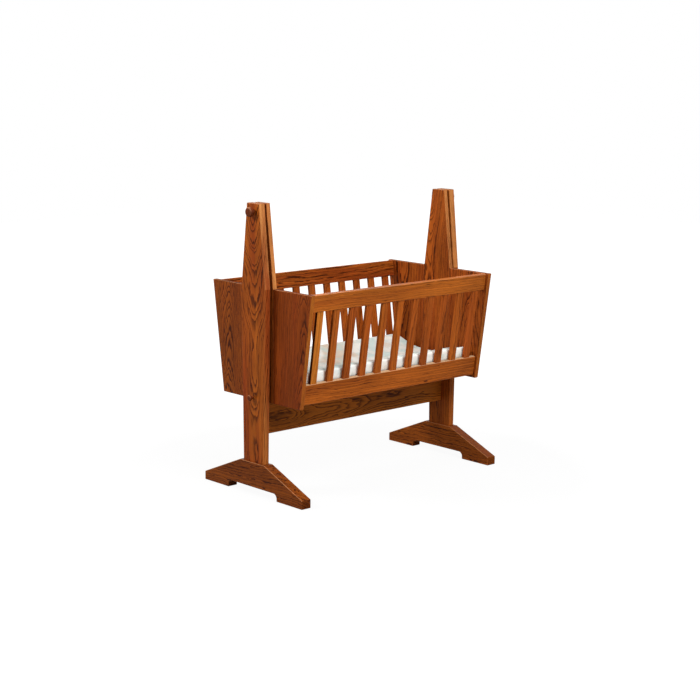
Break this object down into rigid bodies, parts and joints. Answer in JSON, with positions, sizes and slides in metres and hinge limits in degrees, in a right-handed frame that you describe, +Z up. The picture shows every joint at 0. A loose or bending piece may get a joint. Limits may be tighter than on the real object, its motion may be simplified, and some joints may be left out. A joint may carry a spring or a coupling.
{
  "type": "swinging cradle",
  "caption": "Swinging baby cradle with sloping slatted sides and a mattress, hung by its end arms between tapered posts on a trestle stand.",
  "frame": {"origin": "on the floor, under the middle of the stand", "axes": "+X along the cradle, away from the end with the lock pin; +Y across it, the way it swings; +Z up"},
  "size_m": [1.094, 0.592, 1.124],
  "materials": {
    "stained_oak": "stained and satin lacquered oak",
    "bare_wood": "bare hardwood",
    "plywood": "bare plywood",
    "steel": "zinc plated",
    "brass": "plain brass",
    "nylon": "natural nylon",
    "mattress_cover": "printed cotton cover"
  },
  "bodies": {
    "stand": {"left_foot": "stained_oak", "right_foot": "stained_oak", "left_post": "stained_oak", "right_post": "stained_oak", "stretcher": "stained_oak", "foot_lag_screws": "steel", "post_bushings": "nylon"},
    "lock": {"lock_pin": "bare_wood", "lock_knob": "stained_oak"},
    "cradle": {"left_arm": "stained_oak", "right_arm": "stained_oak", "left_front_wing": "stained_oak", "left_back_wing": "stained_oak", "right_front_wing": "stained_oak", "right_back_wing": "stained_oak", "left_pivot_knob": "stained_oak", "right_pivot_knob": "stained_oak", "front_top_rail": "stained_oak", "front_bottom_rail": "stained_oak", "back_top_rail": "stained_oak", "back_bottom_rail": "stained_oak", "front_slat_1": "stained_oak", "front_slat_2": "stained_oak", "front_slat_3": "stained_oak", "front_slat_4": "stained_oak", "front_slat_5": "stained_oak", "front_slat_6": "stained_oak", "front_slat_7": "stained_oak", "front_slat_8": "stained_oak", "front_slat_9": "stained_oak", "front_slat_10": "stained_oak", "front_slat_11": "stained_oak", "back_slat_1": "stained_oak", "back_slat_2": "stained_oak", "back_slat_3": "stained_oak", "back_slat_4": "stained_oak", "back_slat_5": "stained_oak", "back_slat_6": "stained_oak", "back_slat_7": "stained_oak", "back_slat_8": "stained_oak", "back_slat_9": "stained_oak", "back_slat_10": "stained_oak", "back_slat_11": "stained_oak", "front_cleat": "bare_wood", "back_cleat": "bare_wood", "left_cleat": "bare_wood", "right_cleat": "bare_wood", "wing_dowels": "bare_wood", "rail_dowels": "bare_wood", "bottom_board": "plywood", "pivot_bolts": "steel", "cleat_screws": "steel", "pivot_inserts": "brass", "pivot_spacers": "nylon"},
    "mattress": {"mattress": "mattress_cover"}
  },
  "joints": [
    {"name": "swing", "type": "hinge", "parent": "stand", "child": "cradle", "pos_m": [0, 0, 1.092], "axis": [1, 0, 0], "range_deg": [-8, 8]},
    {"name": "lock_pull", "type": "slide", "parent": "stand", "child": "lock", "axis": [-1, 0, 0], "range_m": [0, 0.03]},
    {"name": "mattress_lift", "type": "slide", "parent": "cradle", "child": "mattress", "axis": [0, 0, 1], "range_m": [0, 0.45]}
  ]
}
